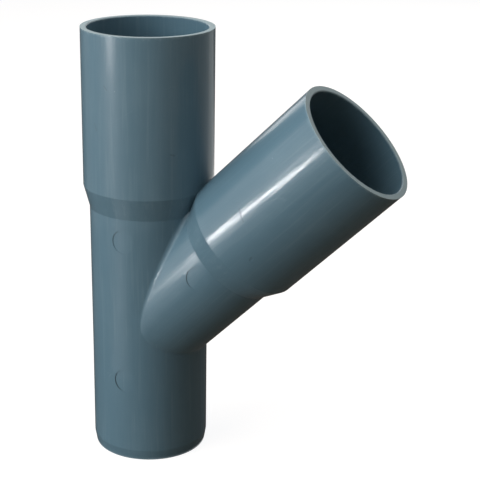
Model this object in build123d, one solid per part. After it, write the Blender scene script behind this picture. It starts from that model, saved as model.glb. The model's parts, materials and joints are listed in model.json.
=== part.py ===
# Lateral wye fitting for 50 mm solvent-weld pipe, injection moulded in one piece.
#
# The main run stands on its plain spigot and opens upwards in a socket. A second,
# equal socket leaves the run at 45 degrees. The origin is the centre of the spigot's
# end, +Z follows the run and the branch leans towards +X. Millimetres.
from build123d import *
from math import cos, radians, sin, tan
import os

# Pipe that the fitting joins
PIPE_DIAMETER = 50.0
SOCKET_CLEARANCE = 0.15        # radial gap for the cement between pipe and socket

# Walls
RUN_WALL = 2.7
BRANCH_WALL = 2.7
SOCKET_WALL = 2.58

# Spigot: the plain end that goes into another fitting's socket
SPIGOT_LENGTH = 42.0
LEAD_LENGTH = 4.4              # tapered nose of the spigot
LEAD_ANGLE = 9.5

# Main run
RUN_GROWTH = 0.2               # how far the run's radius grows above the spigot
RUN_SHOULDER_DROP = 5.029      # from the crotch down to where the run starts to widen
RUN_SHOULDER_LENGTH = 9.5
RUN_SOCKET_LENGTH = 66.5

# Branch
BRANCH_ANGLE = 45.0            # away from the run
BRANCH_STEP = 1.15             # how much smaller the branch's radius is than the pipe's
HEEL_CLEARANCE = 5.271         # from the spigot up to the lowest point of the branch
BRANCH_SHOULDER_DROP = 5.4882  # from the crotch back to where the branch starts to widen
BRANCH_SHOULDER_LENGTH = 9.9
BRANCH_SOCKET_LENGTH = 66.1

# Edges
MOUTH_CHAMFER = 0.4            # broken inner edge of each socket mouth
JUNCTION_RADIUS = 2.0          # fillet where the branch leaves the run

# Round marks that the ejector pins leave, on the -Y half only. Each pin's face follows
# the tube, but sits a little too deep and to one side, so one edge cuts in further.
MARK_DIAMETER = 10.0
MARK_DEPTH = 0.15              # at the middle of the mark
MARK_SIDE_SHIFT = 0.6          # sideways error of the pin's face
MARK_OFF_CENTRE = 0.8          # of the pin itself, from the tube's middle line
SPIGOT_MARK_DROP = 5.0         # from each tube's next change of form to the mark's middle
RUN_MARK_DROP = 9.8
BRANCH_MARK_DROP = 6.5

spigot_radius = PIPE_DIAMETER / 2
run_bore = spigot_radius - RUN_WALL
run_radius = spigot_radius + RUN_GROWTH
socket_bore = PIPE_DIAMETER / 2 + SOCKET_CLEARANCE
socket_radius = socket_bore + SOCKET_WALL
branch_radius = spigot_radius - BRANCH_STEP
branch_bore = branch_radius - BRANCH_WALL

# Heel and crotch: the lowest and the highest point where the branch meets the run.
# A reach is measured along the branch, from where the two axes cross.
lean = radians(BRANCH_ANGLE)
heel_reach = (run_radius - branch_radius * cos(lean)) / sin(lean)
crotch_reach = (run_radius + branch_radius * cos(lean)) / sin(lean)
heel_height = SPIGOT_LENGTH + HEEL_CLEARANCE
crossing_height = heel_height - heel_reach * cos(lean) + branch_radius * sin(lean)
crotch_height = crossing_height + crotch_reach * cos(lean) + branch_radius * sin(lean)

run_shoulder_start = crotch_height - RUN_SHOULDER_DROP
run_socket_start = run_shoulder_start + RUN_SHOULDER_LENGTH
run_top = run_socket_start + RUN_SOCKET_LENGTH
branch_shoulder_start = crotch_reach - BRANCH_SHOULDER_DROP
branch_socket_start = branch_shoulder_start + BRANCH_SHOULDER_LENGTH
branch_end = branch_socket_start + BRANCH_SOCKET_LENGTH

# The branch's own frame: local Z is the branch's axis, from the crossing outwards
branch_frame = Plane.XY.offset(crossing_height).rotated((0, BRANCH_ANGLE, 0))


def turned(*profile):
    """Return the solid that an outline of (radius, height) points sweeps about Z."""
    bottom = profile[0][1]
    top = profile[-1][1]
    outline = Polyline((0, bottom), *profile, (0, top), close=True)
    return revolve(Plane.XZ * make_face(outline), Axis.Z)


def run_tube():
    """Return the plain run with its tapered nose, carried up into the socket."""
    nose_radius = spigot_radius - LEAD_LENGTH * tan(radians(LEAD_ANGLE))
    return turned(
        (nose_radius, 0),
        (spigot_radius, LEAD_LENGTH),
        (spigot_radius, SPIGOT_LENGTH),
        (run_radius, run_shoulder_start),
        (run_radius, run_top),
    )


def branch_tube():
    """Return the plain branch, from the crossing of the axes to its mouth."""
    return branch_frame * turned((branch_radius, 0), (branch_radius, branch_end))


def filleted_tubes():
    """Return the two tubes as one, with a fillet along the curve where they meet."""
    tubes = run_tube() + branch_tube()
    meeting = [edge for edge in tubes.edges() if edge.geom_type == GeomType.BSPLINE]
    return fillet(meeting, JUNCTION_RADIUS)


def run_socket():
    """Return the solid outside of the run's shoulder and socket."""
    return turned(
        (run_radius, run_shoulder_start),
        (socket_radius, run_socket_start),
        (socket_radius, run_top),
    )


def branch_socket():
    """Return the solid outside of the branch's shoulder and socket."""
    return branch_frame * turned(
        (branch_radius, branch_shoulder_start),
        (socket_radius, branch_socket_start),
        (socket_radius, branch_end),
    )


def passage(bore, shoulder_start, socket_start, end):
    """Return the space along one tube, with the tapered stop that the pipe meets."""
    return turned(
        (bore, 0),
        (bore, shoulder_start),
        (socket_bore, socket_start),
        (socket_bore, end - MOUTH_CHAMFER),
        (socket_bore + MOUTH_CHAMFER, end),
    )


def ejector_mark(tube_radius, reach):
    """Return what one ejector pin presses out of a tube about Z, at a given height."""
    pin = Cylinder(MARK_DIAMETER / 2, MARK_DIAMETER, rotation=(90, 0, 0))
    kept = Cylinder(tube_radius, 2 * MARK_DIAMETER)
    pin_place = Pos(MARK_OFF_CENTRE, -tube_radius, reach)
    return pin_place * pin - Pos(MARK_SIDE_SHIFT, MARK_DEPTH, reach) * kept


def ejector_marks():
    """Return the three marks: on the spigot, below the run's shoulder, on the branch."""
    return [
        ejector_mark(spigot_radius, SPIGOT_LENGTH - SPIGOT_MARK_DROP),
        ejector_mark(run_radius, run_shoulder_start - RUN_MARK_DROP),
        branch_frame * ejector_mark(branch_radius, branch_shoulder_start - BRANCH_MARK_DROP),
    ]


def wye_body():
    """Return the fitting: tubes and sockets fused, bored through, and pin-marked."""
    run_passage = passage(run_bore, run_shoulder_start, run_socket_start, run_top)
    branch_passage = branch_frame * passage(
        branch_bore, branch_shoulder_start, branch_socket_start, branch_end
    )
    outside = filleted_tubes() + run_socket() + branch_socket()
    return outside - run_passage - branch_passage - ejector_marks()


os.makedirs("parts", exist_ok=True)
export_step(wye_body(), "parts/wye_body.step")
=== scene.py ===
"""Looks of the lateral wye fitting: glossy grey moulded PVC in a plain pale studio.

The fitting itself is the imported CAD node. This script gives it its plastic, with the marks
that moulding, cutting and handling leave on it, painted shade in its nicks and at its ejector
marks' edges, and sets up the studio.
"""

from __future__ import annotations

import json
import logging
import math
from dataclasses import dataclass
from enum import Enum

import bpy
from mathutils import Matrix, Vector

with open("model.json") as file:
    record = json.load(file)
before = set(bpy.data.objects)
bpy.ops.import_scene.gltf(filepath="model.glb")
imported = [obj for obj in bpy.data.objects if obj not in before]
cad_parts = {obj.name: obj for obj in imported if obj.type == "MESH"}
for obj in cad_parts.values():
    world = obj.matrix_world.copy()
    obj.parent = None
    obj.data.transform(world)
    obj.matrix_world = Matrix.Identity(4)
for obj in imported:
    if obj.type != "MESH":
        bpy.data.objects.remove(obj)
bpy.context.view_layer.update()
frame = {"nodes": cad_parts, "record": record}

log = logging.getLogger("wye")

NODE = "wye_body"
MM = 0.001
UP = (0.0, 0.0, 1.0)
FRONT = (0.0, -1.0, 0.0)

Colour = tuple[float, float, float]
Turn = tuple[float, float, float]
Source = bpy.types.NodeSocket | float | tuple


class Ray(Enum):
    """Kinds of light ray that a background shows its own brightness to."""

    CAMERA = "Is Camera Ray"
    GLOSSY = "Is Glossy Ray"
    TRANSMISSION = "Is Transmission Ray"


class Mixed(Enum):
    """What a Mix node mixes: its data type, and the end of its sockets' identifiers."""

    COLOUR = ("RGBA", "_Color")
    PLACE = ("VECTOR", "_Vector")


# --------------------------------------------------------------------------- nodes


class Graph:
    """A thin layer over a node tree: adds nodes, sets their values and links them."""

    def __init__(self, tree: bpy.types.NodeTree) -> None:
        """Empty the tree.

        Args:
            tree: the material's, world's or group's node tree.
        """
        self.tree = tree
        tree.nodes.clear()

    def add(self, kind: str, **settings: object) -> bpy.types.Node:
        """Add a node.

        Args:
            kind: the node's type name, without its ShaderNode prefix.
            **settings: attributes to set on the node.

        Returns:
            The new node.
        """
        prefix = "" if kind.startswith("Node") else "ShaderNode"
        node = self.tree.nodes.new(prefix + kind)
        for name, value in settings.items():
            setattr(node, name, value)
        return node

    def feed(self, socket: bpy.types.NodeSocket, source: Source) -> None:
        """Link an output to a socket, or set the socket to a plain value.

        Args:
            socket: the input to feed.
            source: an output socket, a number or a tuple.
        """
        if isinstance(source, bpy.types.NodeSocket):
            self.tree.links.new(source, socket)
        else:
            socket.default_value = source

    def maths(self, operation: str, *sources: Source, clamp: bool = False
              ) -> bpy.types.NodeSocket:
        """Add a Math node.

        Args:
            operation: the node's operation, such as MULTIPLY.
            *sources: output sockets or numbers for its inputs.
            clamp: whether the result is kept between 0 and 1.

        Returns:
            Its output socket.
        """
        node = self.add("Math", operation=operation, use_clamp=clamp)
        for socket, source in zip(node.inputs, sources):
            self.feed(socket, source)
        return node.outputs[0]

    def vector(self, operation: str, *sources: Source) -> bpy.types.NodeSocket:
        """Add a Vector Math node.

        Args:
            operation: the node's operation, such as ADD or DOT_PRODUCT.
            *sources: output sockets or tuples for its inputs.

        Returns:
            Its output: a number for a length, a distance or a dot product, else a vector.
        """
        node = self.add("VectorMath", operation=operation)
        for socket, source in zip(node.inputs, sources):
            self.feed(socket, source)
        gives_number = operation in ("LENGTH", "DISTANCE", "DOT_PRODUCT")
        return node.outputs["Value" if gives_number else "Vector"]

    def ramp(self, source: Source, low: Source, high: Source) -> bpy.types.NodeSocket:
        """Map a value from low..high to 0..1, easing in and out.

        Args:
            source: the value.
            low: the value that becomes 0. It may be above high, to fall instead of rise.
            high: the value that becomes 1.

        Returns:
            The mapped value.
        """
        node = self.add("MapRange", interpolation_type="SMOOTHSTEP")
        for name, value in (("Value", source), ("From Min", low), ("From Max", high)):
            self.feed(node.inputs[name], value)
        return node.outputs[0]

    def noise(self, coordinates: Source, scale: float, detail: float = 2.0,
              roughness: float = 0.5) -> bpy.types.NodeSocket:
        """Add fractal noise.

        Args:
            coordinates: where it is read, in metres.
            scale: its frequency, in cells for each metre.
            detail: how many finer octaves it has.
            roughness: how strong they are.

        Returns:
            A value around 0.5.
        """
        node = self.add("TexNoise")
        self.feed(node.inputs["Vector"], coordinates)
        self.feed(node.inputs["Scale"], scale)
        self.feed(node.inputs["Detail"], detail)
        self.feed(node.inputs["Roughness"], roughness)
        return node.outputs["Fac"]

    def centred(self, source: Source) -> bpy.types.NodeSocket:
        """Return a value less a half, so that noise varies around 0."""
        return self.maths("SUBTRACT", source, 0.5)

    def turned(self, coordinates: Source, turn: Turn, draw: float = 1.0
               ) -> bpy.types.NodeSocket:
        """Read coordinates in a turned frame.

        Args:
            coordinates: the coordinates to change.
            turn: the frame's rotation, in radians.
            draw: the factor along the frame's Z, below 1 to draw a pattern out along it.

        Returns:
            The new coordinates.
        """
        node = self.add("Mapping", vector_type="TEXTURE")
        self.feed(node.inputs["Vector"], coordinates)
        self.feed(node.inputs["Rotation"], turn)
        self.feed(node.inputs["Scale"], (1.0, 1.0, 1.0 / draw))
        return node.outputs[0]

    def mix(self, kind: Mixed, factor: Source, first: Source, second: Source
            ) -> bpy.types.NodeSocket:
        """Add a Mix node.

        Args:
            kind: what it mixes.
            factor: 0 for the first value, 1 for the second.
            first: a value or socket.
            second: a value or socket.

        Returns:
            The mixed value.
        """
        data_type, end = kind.value
        node = self.add("Mix", data_type=data_type)
        inputs = {socket.identifier: socket for socket in node.inputs}
        self.feed(inputs["Factor_Float"], factor)
        self.feed(inputs["A" + end], first)
        self.feed(inputs["B" + end], second)
        return next(socket for socket in node.outputs if socket.identifier == "Result" + end)

    def blend(self, factor: Source, first: Source, second: Colour) -> bpy.types.NodeSocket:
        """Mix two colours.

        Args:
            factor: 0 for the first colour, 1 for the second.
            first: a colour or socket.
            second: a colour.

        Returns:
            The mixed colour.
        """
        opaque = (*first, 1.0) if isinstance(first, tuple) else first
        return self.mix(Mixed.COLOUR, factor, opaque, (*second, 1.0))


class Group:
    """A shader node group with named number sockets, placed in a material with values."""

    def __init__(self, name: str, inputs: tuple[str, ...], outputs: tuple[str, ...]) -> None:
        """Make the empty group.

        Args:
            name: the group's name.
            inputs: the names of its inputs.
            outputs: the names of its outputs.
        """
        self.tree = bpy.data.node_groups.new(name, "ShaderNodeTree")
        for side, keys in (("INPUT", inputs), ("OUTPUT", outputs)):
            for key in keys:
                self.tree.interface.new_socket(key, in_out=side, socket_type="NodeSocketFloat")
        self.graph = Graph(self.tree)
        self.entry = self.graph.add("NodeGroupInput").outputs
        self.exit = self.graph.add("NodeGroupOutput").inputs
        self.place = self.graph.add("TexCoord").outputs["Object"]

    def put(self, graph: Graph, **values: Source) -> bpy.types.NodeOutputs:
        """Place the group in a material.

        Args:
            graph: the material's graph.
            **values: its inputs.

        Returns:
            The placed group's outputs.
        """
        node = graph.add("Group", node_tree=self.tree)
        for key, value in values.items():
            graph.feed(node.inputs[key], value)
        return node.outputs


# ------------------------------------------------------------------------- sizes


@dataclass(frozen=True)
class WyeSizes:
    """Where the fitting's parts lie, in metres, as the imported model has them.

    The crossing is the height at which the two axes meet, and the branch is measured
    from there. The step is how much smaller the branch's radius is than the spigot's.
    """

    top: float
    crossing: float
    lean: float
    branch_end: float
    spigot_radius: float
    socket_radius: float
    branch_step: float = 1.15 * MM

    @property
    def branch_radius(self) -> float:
        """Return the radius of the branch's slim tube."""
        return self.spigot_radius - self.branch_step

    @classmethod
    def from_frame(cls) -> "WyeSizes":
        """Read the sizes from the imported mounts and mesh.

        Returns:
            The sizes.
        """
        mounts = {mount["name"]: mount for mount in frame["record"]["mounts"]}
        socket, spigot = mounts["branch_socket"], mounts["spigot"]
        axis = Vector(socket["axis"])
        crossing = socket["pos_m"][2] - socket["pos_m"][0] * axis.z / axis.x
        corners = [vertex.co for vertex in frame["nodes"][NODE].data.vertices]
        foot = Vector((0.0, 0.0, crossing))
        return cls(
            top=max(corner.z for corner in corners),
            crossing=crossing,
            lean=math.atan2(axis.x, axis.z),
            branch_end=max((corner - foot).dot(axis) for corner in corners),
            spigot_radius=spigot["dims"]["r_mm"] * MM,
            socket_radius=max(corner.y for corner in corners),
        )

    def on_run(self, azimuth: float, height: float, radius: float) -> Vector:
        """Return a place on the run.

        Args:
            azimuth: degrees from the front, -Y, towards +X.
            height: above the spigot's end.
            radius: of the run there.

        Returns:
            The place.
        """
        around = math.radians(azimuth)
        return Vector((radius * math.sin(around), -radius * math.cos(around), height))

    def on_branch(self, azimuth: float, reach: float, radius: float) -> Vector:
        """Return a place on the branch.

        Args:
            azimuth: degrees from the front, -Y, towards the branch's upper side.
            reach: along the branch from the crossing of the axes.
            radius: of the branch there.

        Returns:
            The place.
        """
        around = math.radians(azimuth)
        out = radius * math.sin(around)
        along, across = math.sin(self.lean), math.cos(self.lean)
        return Vector((
            reach * along - out * across,
            -radius * math.cos(around),
            self.crossing + reach * across + out * along,
        ))


# ----------------------------------------------------------------------- finishes


@dataclass(frozen=True)
class Relief:
    """The skin's relief: heights in millimetres, scales in cells for each metre.

    The swell and the lines are drawn out along each tube, as the plastic flowed. The
    drags are the few lines that stand out from the rest. The edges are distances, in
    metres, outside the spigot's and the socket's radius, between which the run's pattern
    gives way to the branch's.
    """

    draw: float = 0.04
    swell: float = 0.12
    swell_scale: float = 130.0
    lines: float = 0.045
    line_scale: float = 900.0
    ripple: float = 0.016
    ripple_scale: float = 2100.0
    drag_scale: float = 520.0
    drag_band: tuple[float, float] = (0.56, 0.68)
    run_edge: tuple[float, float] = (0.6 * MM, 1.2 * MM)
    branch_edge: tuple[float, float] = (1.47 * MM, 0.77 * MM)


@dataclass(frozen=True)
class Wear:
    """How the rubbing of the rims, the hairline scratches and the dust are spread.

    The rims' lengths are in metres, and scales in cells for each metre. The scratches'
    and the dust's widths, sizes and bands are shares of their own pattern, and breaks is
    how much finer the pattern is that breaks the scratches up.
    """

    cut_depth: float = 0.15 * MM
    rub_width: float = 1.2 * MM
    rub_patch: float = 3.5 * MM
    rub_scale: float = 260.0
    scratch_sets: tuple[tuple[Turn, float], ...] = (
        ((0.3, 0.9, 0.4), 55.0),
        ((1.1, -0.5, 2.0), 75.0),
    )
    scratch_draw: float = 0.12
    scratch_width: float = 0.008
    scratch_band: tuple[float, float] = (0.67, 0.74)
    scratch_breaks: float = 2.3
    dust_scale: float = 150.0
    dust_size: float = 0.055
    dust_rarity: float = 0.80


@dataclass(frozen=True)
class Effect:
    """What a mask does to the plastic where it is 1.

    The tint is how far the colour goes towards the effect's own, the dulling is added to
    the roughness, and the height, in millimetres, to the relief.
    """

    colour: Colour = (0.0, 0.0, 0.0)
    tint: float = 0.0
    dulling: float = 0.0
    height: float = 0.0


RUBBED: Colour = (0.200, 0.280, 0.315)
# Painted shade: the dark colour laid into the nicks and at the ejector marks' recessed edges.
RECESS_SHADE: Colour = (0.020, 0.030, 0.036)


@dataclass(frozen=True)
class GreyPvc:
    """The grey plastic: its colours, its two kinds of gloss and what wear does to it.

    The skin is the sharp gloss that it takes from the polished mould, and the haze is the
    broad gloss over it. The clouds are the slow changes of colour and gloss.
    """

    body: Colour = (0.080, 0.150, 0.196)
    pale: Colour = (0.101, 0.174, 0.219)
    gloss: float = 0.065
    index: float = 1.45
    skin: float = 0.33
    haze: float = 0.95
    haze_spread: float = 0.42
    cloud_scale: float = 30.0
    cloud_band: tuple[float, float] = (0.35, 0.95)
    cloud_dulling: float = 0.06
    flow_tint: float = 0.5
    flow_dulling: float = 0.16
    drag: Effect = Effect(RUBBED, tint=0.10, dulling=0.08)
    hair: Effect = Effect(RUBBED, tint=0.12, dulling=0.12, height=-0.0015)
    rub: Effect = Effect(RUBBED, tint=0.35, dulling=0.22)
    cut: Effect = Effect((0.225, 0.310, 0.335), tint=1.0, dulling=0.555)
    dust: Effect = Effect((0.330, 0.400, 0.420), tint=0.45, dulling=0.40)
    # The knock's darker tint is painted shade in the nick's hollow; its height is the dent
    # itself.
    knock: Effect = Effect(RECESS_SHADE, tint=0.15, height=-0.10)
    # Painted shade: the dark crescents at the ejector marks' recessed edges.
    shade_crescent: Effect = Effect(RECESS_SHADE, tint=1.0)
    lip: Effect = Effect(height=0.090)


# ------------------------------------------------------------------------- groups


@dataclass(frozen=True)
class Nick:
    """A short knock on a socket, between two places.

    A place is degrees round the socket from the front, and metres along its tube.
    """

    first: tuple[float, float]
    last: tuple[float, float]
    width: float
    on_branch: bool = False


@dataclass(frozen=True)
class PinShadeCrescent:
    """The part of an ejector mark's edge that grime has settled in.

    The mark's middle is at the reach along its tube and at the shift to the side of the
    tube's middle line. The painted shade lies on the side that faces towards, and its depth is
    how dark it is, up to 1. It fades in between the two distances of from_middle that way, and
    up to from_axis in front of the tube's axis.
    """

    reach: float
    towards: tuple[float, float, float]
    depth: float
    on_branch: bool = False
    shift: float = 0.8 * MM
    radius: float = 5.0 * MM
    from_middle: tuple[float, float] = (3.0 * MM, 4.8 * MM)
    from_axis: float = 10.0 * MM


def in_branch(group: Group, sizes: WyeSizes) -> bpy.types.NodeSocket:
    """Add coordinates whose Z runs along the branch, from the crossing of the axes.

    Args:
        group: the group to add them to.
        sizes: where the branch lies.

    Returns:
        The coordinates.
    """
    g = group.graph
    lifted = g.vector("SUBTRACT", group.place, (0.0, 0.0, sizes.crossing))
    return g.turned(lifted, (0.0, sizes.lean, 0.0))


def moulded_skin(sizes: WyeSizes, relief: Relief) -> Group:
    """Build the skin of a moulding: a slow swell, lines of flow and a fine ripple.

    Args:
        sizes: where the tubes lie, because the plastic flowed along each of them.
        relief: how fine each layer is, and where one tube's pattern ends.

    Returns:
        The group, with Height in millimetres, Flow, which varies around 0, and Drag,
        which is 1 on the few lines that stand out.
    """
    group = Group("moulded_skin", ("Draw", "Swell", "Lines", "Ripple"),
                  ("Height", "Flow", "Drag"))
    g = group.graph
    branch = in_branch(group, sizes)
    flat = (1.0, 1.0, 0.0)
    off_run = g.vector("LENGTH", g.vector("MULTIPLY", group.place, flat))
    off_branch = g.vector("LENGTH", g.vector("MULTIPLY", branch, flat))
    outside_run = g.ramp(off_run, *(sizes.spigot_radius + gap for gap in relief.run_edge))
    inside_branch = g.ramp(off_branch,
                           *(sizes.socket_radius + gap for gap in relief.branch_edge))
    on_branch = g.maths("MULTIPLY", outside_run, inside_branch)
    squeeze = g.add("CombineXYZ")
    for socket, source in zip(squeeze.inputs, (1.0, 1.0, group.entry["Draw"])):
        g.feed(socket, source)
    along = g.vector("MULTIPLY", g.mix(Mixed.PLACE, on_branch, group.place, branch),
                     squeeze.outputs[0])
    swell = g.centred(g.noise(along, relief.swell_scale, 1.0))
    flow = g.centred(g.noise(along, relief.line_scale, 3.0, 0.6))
    ripple = g.centred(g.noise(group.place, relief.ripple_scale))
    height = 0.0
    for layer, strength in ((swell, "Swell"), (flow, "Lines"), (ripple, "Ripple")):
        height = g.maths("MULTIPLY_ADD", layer, group.entry[strength], height)
    g.feed(group.exit["Height"], height)
    g.feed(group.exit["Flow"], flow)
    drags = g.noise(along, relief.drag_scale, 2.0, 0.6)
    g.feed(group.exit["Drag"], g.ramp(drags, *relief.drag_band))
    return group


def rim_bands(sizes: WyeSizes, wear: Wear) -> Group:
    """Build the masks of the two socket rims, which are cut and left matt.

    Args:
        sizes: where the rims lie.
        wear: how patchy the rubbing is.

    Returns:
        The group, with Cut (the rim's own face) and Worn (its rubbed outer edge).
    """
    group = Group("rim_bands", ("Depth", "Rub"), ("Cut", "Worn"))
    g = group.graph
    height = g.vector("DOT_PRODUCT", group.place, UP)
    reach = g.vector("DOT_PRODUCT", in_branch(group, sizes), UP)
    from_top = g.maths("SUBTRACT", sizes.top, height)
    from_end = g.maths("SUBTRACT", sizes.branch_end, reach)
    nearest = g.maths("MINIMUM", from_top, from_end)
    patches = g.centred(g.noise(group.place, wear.rub_scale, 3.0, 0.65))
    patchy = g.maths("MULTIPLY_ADD", patches, wear.rub_patch, nearest)
    g.feed(group.exit["Cut"], g.maths("LESS_THAN", nearest, group.entry["Depth"]))
    g.feed(group.exit["Worn"], g.ramp(patchy, group.entry["Rub"], 0.0))
    return group


def hair_scratches(wear: Wear) -> Group:
    """Build sparse hairline scratches from handling.

    Args:
        wear: how the scratches are spread.

    Returns:
        The group, with a Mask.
    """
    group = Group("hair_scratches", ("Width",), ("Mask",))
    g = group.graph
    mask = 0.0
    for turn, scale in wear.scratch_sets:
        drawn = g.turned(group.place, turn, wear.scratch_draw)
        ridge = g.maths("ABSOLUTE", g.centred(g.noise(drawn, scale)))
        line = g.ramp(ridge, group.entry["Width"], 0.0)
        place = g.ramp(g.noise(drawn, scale * wear.scratch_breaks, 1.0), *wear.scratch_band)
        mask = g.maths("MAXIMUM", g.maths("MULTIPLY", line, place), mask)
    g.feed(group.exit["Mask"], mask)
    return group


def specks() -> Group:
    """Build sparse dust specks.

    Returns:
        The group, with a Mask.
    """
    group = Group("specks", ("Scale", "Size", "Rarity"), ("Mask",))
    g = group.graph
    cells = g.add("TexVoronoi")
    g.feed(cells.inputs["Vector"], group.place)
    g.feed(cells.inputs["Scale"], group.entry["Scale"])
    dot = g.ramp(cells.outputs["Distance"], group.entry["Size"], 0.0)
    chance = g.add("SeparateColor")
    g.feed(chance.inputs[0], cells.outputs["Color"])
    lucky = g.maths("GREATER_THAN", chance.outputs[0], group.entry["Rarity"])
    g.feed(group.exit["Mask"], g.maths("MULTIPLY", dot, lucky))
    return group


def nicks(sizes: WyeSizes, knocks: tuple[Nick, ...]) -> Group:
    """Build the few knocks that can be made out one by one.

    Args:
        sizes: where the sockets lie.
        knocks: the knocks.

    Returns:
        The group, with a Mask. Its Floor is the share of the width that is fully deep.
    """
    group = Group("nicks", ("Floor",), ("Mask",))
    g = group.graph
    mask = 0.0
    for knock in knocks:
        locate = sizes.on_branch if knock.on_branch else sizes.on_run
        first = locate(*knock.first, sizes.socket_radius)
        run = locate(*knock.last, sizes.socket_radius) - first
        offset = g.vector("SUBTRACT", group.place, tuple(first))
        share = g.maths("DIVIDE", g.vector("DOT_PRODUCT", offset, tuple(run)),
                        run.length_squared, clamp=True)
        gap = g.vector("DISTANCE", offset, g.vector("MULTIPLY", tuple(run), share))
        floor = g.maths("MULTIPLY", group.entry["Floor"], knock.width)
        mask = g.maths("MAXIMUM", g.ramp(gap, knock.width, floor), mask)
    g.feed(group.exit["Mask"], mask)
    return group


def pin_lips(places: tuple[Vector, ...]) -> Group:
    """Build the soft lips that stand proud on one side of each ejector mark.

    Args:
        places: the lips' middles.

    Returns:
        The group, with a Mask that is 1 at each lip's middle.
    """
    group = Group("pin_lips", ("Size",), ("Mask",))
    g = group.graph
    mask = 0.0
    for place in places:
        gap = g.vector("DISTANCE", group.place, tuple(place))
        mask = g.maths("MAXIMUM", g.ramp(gap, group.entry["Size"], 0.0), mask)
    g.feed(group.exit["Mask"], mask)
    return group


def pin_shade_crescents(sizes: WyeSizes, shade_crescents: tuple[PinShadeCrescent, ...]) -> Group:
    """Build the painted shade at the edges of the ejector marks: dark crescents for their
    recessed edges.

    Args:
        sizes: where the tubes lie.
        shade_crescents: the creases, each in its own tube's coordinates.

    Returns:
        The group, with a Mask.
    """
    group = Group("pin_shade_crescents", ("Width",), ("Mask",))
    g = group.graph
    branch = in_branch(group, sizes)
    mask = 0.0
    for shade_crescent in shade_crescents:
        place = branch if shade_crescent.on_branch else group.place
        offset = g.vector("SUBTRACT", place, (shade_crescent.shift, 0.0, shade_crescent.reach))
        off_middle = g.vector("LENGTH", g.vector("MULTIPLY", offset, (1.0, 0.0, 1.0)))
        off_edge = g.maths("ABSOLUTE", g.maths("SUBTRACT", off_middle, shade_crescent.radius))
        ring = g.ramp(off_edge, group.entry["Width"], 0.0)
        side = g.ramp(g.vector("DOT_PRODUCT", offset, shade_crescent.towards), *shade_crescent.from_middle)
        front = g.ramp(g.vector("DOT_PRODUCT", offset, FRONT), 0.0, shade_crescent.from_axis)
        part = g.maths("MULTIPLY", ring, side)
        part = g.maths("MULTIPLY", part, g.maths("MULTIPLY", front, shade_crescent.depth))
        mask = g.maths("MAXIMUM", part, mask)
    g.feed(group.exit["Mask"], mask)
    return group


# ------------------------------------------------------------------------ fitting


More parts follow.
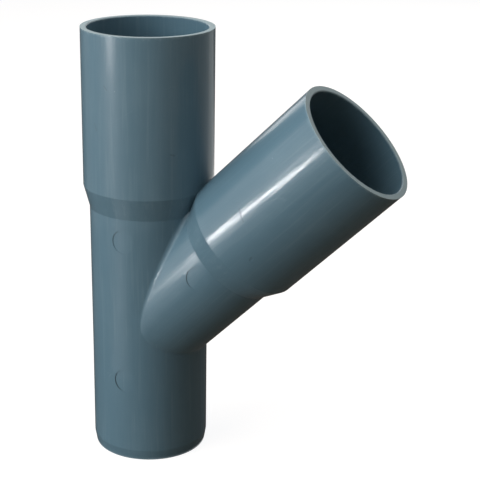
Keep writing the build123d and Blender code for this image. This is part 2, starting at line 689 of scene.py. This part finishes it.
@dataclass
class WyeBody:
    """The fitting: where its marks are, and the finish on it.

    A place is given as degrees round the tube from the front and metres along it.
    """

    sizes: WyeSizes
    finish: GreyPvc = GreyPvc()
    relief: Relief = Relief()
    wear: Wear = Wear()
    run_lip: tuple[float, float] = (-8.0, 0.1058)
    spigot_lip: tuple[float, float] = (-10.5, 0.0405)
    branch_lip: tuple[float, float] = (8.0, 0.0440)
    lip_size: float = 2.2 * MM
    # Painted shade: one dark crescent at the recessed edge of each ejector mark.
    shade_crescents: tuple[PinShadeCrescent, ...] = (
        PinShadeCrescent(0.0370, (-0.94, 0.0, -0.34), 0.75),
        PinShadeCrescent(0.0999, (-0.94, 0.0, 0.34), 0.30),
        PinShadeCrescent(0.0475, (-0.60, 0.0, -0.80), 0.50, on_branch=True),
    )
    shade_crescent_width: float = 0.32 * MM
    knocks: tuple[Nick, ...] = (
        Nick((19.5, 0.0846), (9.0, 0.0830), 0.45 * MM, on_branch=True),
        Nick((-18.2, 0.0751), (-18.8, 0.0738), 0.70 * MM, on_branch=True),
        Nick((-12.0, 0.1652), (-9.0, 0.1636), 0.40 * MM),
        Nick((46.0, 0.1381), (49.0, 0.1377), 0.60 * MM),
        Nick((-24.0, 0.1490), (-22.0, 0.1462), 0.30 * MM),
    )
    knock_floor: float = 0.4

    def lips(self) -> tuple[Vector, ...]:
        """Return the middles of the raised lips beside the ejector marks."""
        sizes = self.sizes
        return (
            sizes.on_run(*self.run_lip, sizes.spigot_radius),
            sizes.on_run(*self.spigot_lip, sizes.spigot_radius),
            sizes.on_branch(*self.branch_lip, sizes.branch_radius),
        )

    def masks(self, g: Graph, drag: bpy.types.NodeSocket
              ) -> tuple[tuple[bpy.types.NodeSocket, Effect], ...]:
        """Place the groups that say where the wear and the marks are.

        Args:
            g: the material's graph.
            drag: the mask of the lines that stand out.

        Returns:
            Each mask with its effect, the uppermost last.
        """
        look, wear = self.finish, self.wear
        rims = rim_bands(self.sizes, wear).put(g, Depth=wear.cut_depth, Rub=wear.rub_width)
        hairs = hair_scratches(wear).put(g, Width=wear.scratch_width)
        dust = specks().put(g, Scale=wear.dust_scale, Size=wear.dust_size,
                            Rarity=wear.dust_rarity)
        knocks = nicks(self.sizes, self.knocks).put(g, Floor=self.knock_floor)
        lips = pin_lips(self.lips()).put(g, Size=self.lip_size)
        # Painted shade: the dark crescents at the ejector marks' recessed edges.
        shade_crescents = pin_shade_crescents(self.sizes, self.shade_crescents).put(g, Width=self.shade_crescent_width)
        return (
            (drag, look.drag),
            (hairs["Mask"], look.hair),
            (rims["Worn"], look.rub),
            (rims["Cut"], look.cut),
            (dust["Mask"], look.dust),
            (knocks["Mask"], look.knock),
            (shade_crescents["Mask"], look.shade_crescent),
            (lips["Mask"], look.lip),
        )

    def plastic(self) -> bpy.types.Material:
        """Build the grey PVC.

        Returns:
            The material.
        """
        material = bpy.data.materials.new("grey_pvc")
        material.use_nodes = True
        g = Graph(material.node_tree)
        look, relief = self.finish, self.relief
        skin = moulded_skin(self.sizes, relief).put(
            g, Draw=relief.draw, Swell=relief.swell, Lines=relief.lines, Ripple=relief.ripple)
        flow, height = skin["Flow"], skin["Height"]
        clouds = g.noise(g.add("TexCoord").outputs["Object"], look.cloud_scale, 3.0, 0.6)
        streaks = g.maths("MULTIPLY_ADD", flow, look.flow_tint, clouds)
        colour = g.blend(g.ramp(streaks, *look.cloud_band), look.body, look.pale)
        rough = g.maths("MULTIPLY_ADD", flow, look.flow_dulling, look.gloss)
        rough = g.maths("MULTIPLY_ADD", g.centred(clouds), look.cloud_dulling, rough)
        for mask, effect in self.masks(g, skin["Drag"]):
            if effect.tint:
                colour = g.blend(g.maths("MULTIPLY", mask, effect.tint), colour, effect.colour)
            if effect.dulling:
                rough = g.maths("MULTIPLY_ADD", mask, effect.dulling, rough)
            if effect.height:
                height = g.maths("MULTIPLY_ADD", mask, effect.height, height)
        bump = g.add("Bump")
        g.feed(bump.inputs["Distance"], MM)
        g.feed(bump.inputs["Height"], height)
        shader = g.add("BsdfPrincipled")
        for name, source in (
            ("Base Color", colour), ("Roughness", rough), ("Normal", bump.outputs[0]),
            ("IOR", look.index), ("Specular IOR Level", look.skin),
            ("Coat Weight", look.haze), ("Coat Roughness", look.haze_spread),
        ):
            g.feed(shader.inputs[name], source)
        g.feed(g.add("OutputMaterial").inputs["Surface"], shader.outputs[0])
        return material

    def dress(self) -> bpy.types.Object:
        """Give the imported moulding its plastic.

        Returns:
            The fitting's object.
        """
        piece = frame["nodes"][NODE]
        piece.data.materials.clear()
        piece.data.materials.append(self.plastic())
        return piece


# ------------------------------------------------------------------------- studio


def direction(azimuth: float, elevation: float) -> Vector:
    """Return the unit vector towards a place in the studio.

    Args:
        azimuth: degrees from the front, -Y, towards +X.
        elevation: degrees above the floor.

    Returns:
        The vector.
    """
    around, above = math.radians(azimuth), math.radians(elevation)
    level = math.cos(above)
    return Vector((math.sin(around) * level, -math.cos(around) * level, math.sin(above)))


@dataclass(frozen=True)
class Panel:
    """A soft rectangular lamp that faces the fitting: degrees, metres and watts."""

    name: str
    azimuth: float
    elevation: float
    distance: float
    width: float
    height: float
    power: float
    in_gloss: bool = True

    def hang(self, target: Vector) -> bpy.types.Object:
        """Add the lamp, turned towards a point.

        Args:
            target: the point it lights.

        Returns:
            The lamp.
        """
        data = bpy.data.lights.new(self.name, "AREA")
        data.shape = "RECTANGLE"
        data.size, data.size_y = self.width, self.height
        data.energy = self.power
        lamp = bpy.data.objects.new(self.name, data)
        bpy.context.scene.collection.objects.link(lamp)
        away = direction(self.azimuth, self.elevation)
        lamp.location = target + away * self.distance
        lamp.rotation_euler = away.to_track_quat("Z", "Y").to_euler()
        lamp.visible_glossy = self.in_gloss
        return lamp


@dataclass(frozen=True)
class Flag:
    """A sheet that only the fitting's gloss sees, as a studio's black flag is.

    A lying sheet runs out along the floor from the fitting's foot, and its lift keeps
    sheets that overlap apart. A standing one faces the fitting, and its length is its
    height.
    """

    name: str
    azimuth: float
    start: float
    length: float
    width: float
    sideways: float = 0.0
    standing: bool = False
    lift: float = 0.0005
    shade: Colour = (0.05, 0.045, 0.04)

    def set_up(self) -> bpy.types.Object:
        """Lay or stand the sheet.

        Returns:
            The sheet.
        """
        heading = math.radians(self.azimuth)
        out = Vector((math.sin(heading), -math.cos(heading), 0.0))
        side = Vector((math.cos(heading), math.sin(heading), 0.0))
        half = self.length / 2
        away = self.start if self.standing else self.start + half
        centre = side * self.sideways + out * away
        centre.z = half if self.standing else self.lift
        tilt = math.radians(90.0) if self.standing else 0.0
        bpy.ops.object.select_all(action="DESELECT")
        bpy.ops.mesh.primitive_plane_add(size=1.0, location=centre,
                                         rotation=(tilt, 0.0, heading))
        sheet = bpy.context.object
        sheet.name = self.name
        sheet.scale = (self.width, self.length, 1.0)
        for ray in ("camera", "diffuse", "transmission", "shadow", "volume_scatter"):
            setattr(sheet, "visible_" + ray, False)
        material = bpy.data.materials.new(self.name)
        material.use_nodes = True
        g = Graph(material.node_tree)
        glow = g.add("Emission")
        g.feed(glow.inputs["Color"], (*self.shade, 1.0))
        g.feed(g.add("OutputMaterial").inputs["Surface"], glow.outputs[0])
        sheet.data.materials.append(material)
        return sheet


@dataclass(frozen=True)
class Viewpoint:
    """The camera: where it stands about its target, and its lens.

    Angles are in degrees, the distance in metres and the lens in millimetres.
    """

    target: Vector = Vector((0.03925, 0.0, 0.10021))
    azimuth: float = 23.715
    elevation: float = 18.941
    distance: float = 0.54987
    roll: float = 0.806
    lens: float = 98.64
    shift: tuple[float, float] = (0.0150, -0.0053)

    def place(self) -> bpy.types.Object:
        """Add the camera and make it the scene's.

        Returns:
            The camera.
        """
        camera = bpy.data.objects.new("camera", bpy.data.cameras.new("camera"))
        bpy.context.scene.collection.objects.link(camera)
        camera.data.lens = self.lens
        camera.data.shift_x, camera.data.shift_y = self.shift
        back = direction(self.azimuth, self.elevation)
        right = (-back).cross(Vector(UP)).normalized()
        up = right.cross(-back)
        roll = math.radians(self.roll)
        side = right * math.cos(roll) + up * math.sin(roll)
        top = up * math.cos(roll) - right * math.sin(roll)
        turn = Matrix((side, top, back)).transposed().to_4x4()
        camera.matrix_world = Matrix.Translation(self.target + back * self.distance) @ turn
        bpy.context.scene.camera = camera
        return camera


@dataclass
class Studio:
    """The pale floor, the room's light, the lamps and the camera.

    The key, sky, fill and rear lamps light the fitting, and the others are the narrow
    windows that its gloss shows.
    """

    middle: Vector = Vector((0.03, 0.0, 0.10))
    floor_radius: float = 6.0
    floor_corners: int = 96
    floor_albedo: Colour = (0.24, 0.21, 0.17)
    floor_lift: Colour = (0.88, 0.89, 0.91)
    room: Colour = (0.074, 0.067, 0.054)
    background: Colour = (1.0, 1.0, 1.0)
    panels: tuple[Panel, ...] = (
        Panel("key", -34.0, 25.0, 1.8, 1.60, 1.00, 27.2, in_gloss=False),
        Panel("sky", -70.0, 55.0, 1.1, 0.90, 0.60, 5.3, in_gloss=False),
        Panel("fill", 80.0, 50.0, 1.1, 0.60, 0.60, 1.9, in_gloss=False),
        Panel("rear", 176.0, 28.0, 1.3, 0.80, 0.60, 5.0, in_gloss=False),
        Panel("gap", -38.2, 1.2, 0.9, 0.28, 0.034, 1.85),
        Panel("pane", -40.6, 7.4, 0.9, 0.07, 0.035, 0.065),
        Panel("sill", -40.0, -6.0, 0.9, 0.20, 0.160, 0.55),
        Panel("back_window", -126.0, 10.0, 0.9, 0.45, 0.10, 0.20),
    )
    flags: tuple[Flag, ...] = (
        # Painted shadow: a dark sheet round the foot, seen only in the fitting's gloss, stands
        # in for the shade on the floor there.
        Flag("foot_shadow_sheet", 90.0, -0.30, 0.75, 0.60, lift=0.0010),
        Flag("left_mat", -65.0, 0.0, 3.0, 2.6, lift=0.0004, shade=(0.20, 0.20, 0.20)),
        Flag("left_strip", -31.0, 0.1, 1.2, 0.07, lift=0.0012, shade=(0.55, 0.55, 0.56)),
        Flag("front_strip", -18.0, 0.1, 1.2, 0.03, lift=0.0012, shade=(0.50, 0.50, 0.50)),
        Flag("right_mat", -22.0, -0.30, 3.3, 3.0, sideways=1.5, lift=0.0006,
             shade=(0.36, 0.37, 0.35)),
        Flag("back_right_near", 146.0, 0.0, 0.35, 3.0, sideways=-1.5,
             shade=(0.55, 0.56, 0.55)),
        Flag("back_right_mat", 146.0, 0.35, 3.0, 3.0, sideways=-1.5,
             shade=(0.28, 0.29, 0.28)),
        Flag("back_mat", 146.0, 0.35, 3.0, 0.7, sideways=0.35, lift=0.0003,
             shade=(0.45, 0.46, 0.45)),
        Flag("left_back_mat", -107.0, 0.20, 3.0, 2.8, sideways=-1.4, lift=0.0008),
        Flag("front_wall", 0.0, 3.0, 1.0, 5.0, sideways=0.5, standing=True),
        Flag("right_wall", 60.0, 3.0, 1.0, 6.0, standing=True),
        Flag("back_right_wall", 130.0, 3.0, 1.0, 2.5, standing=True),
        Flag("back_wall", 168.0, 3.0, 1.0, 1.6, standing=True, shade=(0.45, 0.47, 0.46)),
        Flag("left_back_wall", -135.0, 3.0, 0.57, 3.4, standing=True),
    )
    view: Viewpoint = Viewpoint()

    def seen_directly(self, g: Graph) -> bpy.types.NodeSocket:
        """Say where a ray shows a background's own brightness.

        Args:
            g: the graph to add to.

        Returns:
            1 for camera, glossy and transmission rays, 0 for the rest.
        """
        path = g.add("LightPath")
        seen = path.outputs[Ray.CAMERA.value]
        for kind in (Ray.GLOSSY, Ray.TRANSMISSION):
            seen = g.maths("MAXIMUM", seen, path.outputs[kind.value])
        return seen

    def floor(self) -> bpy.types.Object:
        """Lay the floor: pale, and lifted towards white where it is seen.

        Returns:
            The floor.
        """
        bpy.ops.object.select_all(action="DESELECT")
        bpy.ops.mesh.primitive_circle_add(vertices=self.floor_corners,
                                          radius=self.floor_radius, fill_type="NGON")
        floor = bpy.context.object
        floor.name = "floor"
        material = bpy.data.materials.new("pale_floor")
        material.use_nodes = True
        g = Graph(material.node_tree)
        diffuse = g.add("BsdfDiffuse")
        g.feed(diffuse.inputs["Color"], (*self.floor_albedo, 1.0))
        glow = g.add("Emission")
        g.feed(glow.inputs["Color"], (*self.floor_lift, 1.0))
        g.feed(glow.inputs["Strength"], self.seen_directly(g))
        both = g.add("AddShader")
        g.feed(both.inputs[0], diffuse.outputs[0])
        g.feed(both.inputs[1], glow.outputs[0])
        g.feed(g.add("OutputMaterial").inputs["Surface"], both.outputs[0])
        floor.data.materials.append(material)
        return floor

    def room_light(self) -> bpy.types.World:
        """Fill the room with dim light, and show it white.

        Returns:
            The world.
        """
        world = bpy.data.worlds.new("room")
        world.use_nodes = True
        g = Graph(world.node_tree)
        colour = g.blend(self.seen_directly(g), self.room, self.background)
        shade = g.add("Background")
        g.feed(shade.inputs["Color"], colour)
        g.feed(g.add("OutputWorld").inputs["Surface"], shade.outputs[0])
        bpy.context.scene.world = world
        return world

    def build(self) -> None:
        """Set up the whole studio."""
        bpy.context.scene.view_settings.view_transform = "Standard"
        self.room_light()
        self.floor()
        for panel in self.panels:
            panel.hang(self.middle)
        for flag in self.flags:
            flag.set_up()
        self.view.place()


def main() -> None:
    """Dress the fitting, build the studio and log the fitting's faces and the number of lamps.
    """
    logging.basicConfig(level=logging.INFO, format="%(name)s: %(message)s")
    piece = WyeBody(WyeSizes.from_frame()).dress()
    log.info("%s: %d faces", piece.name, len(piece.data.polygons))
    studio = Studio()
    studio.build()
    log.info("studio: %d lamps", len(studio.panels))


if __name__ == "__main__":
    main()
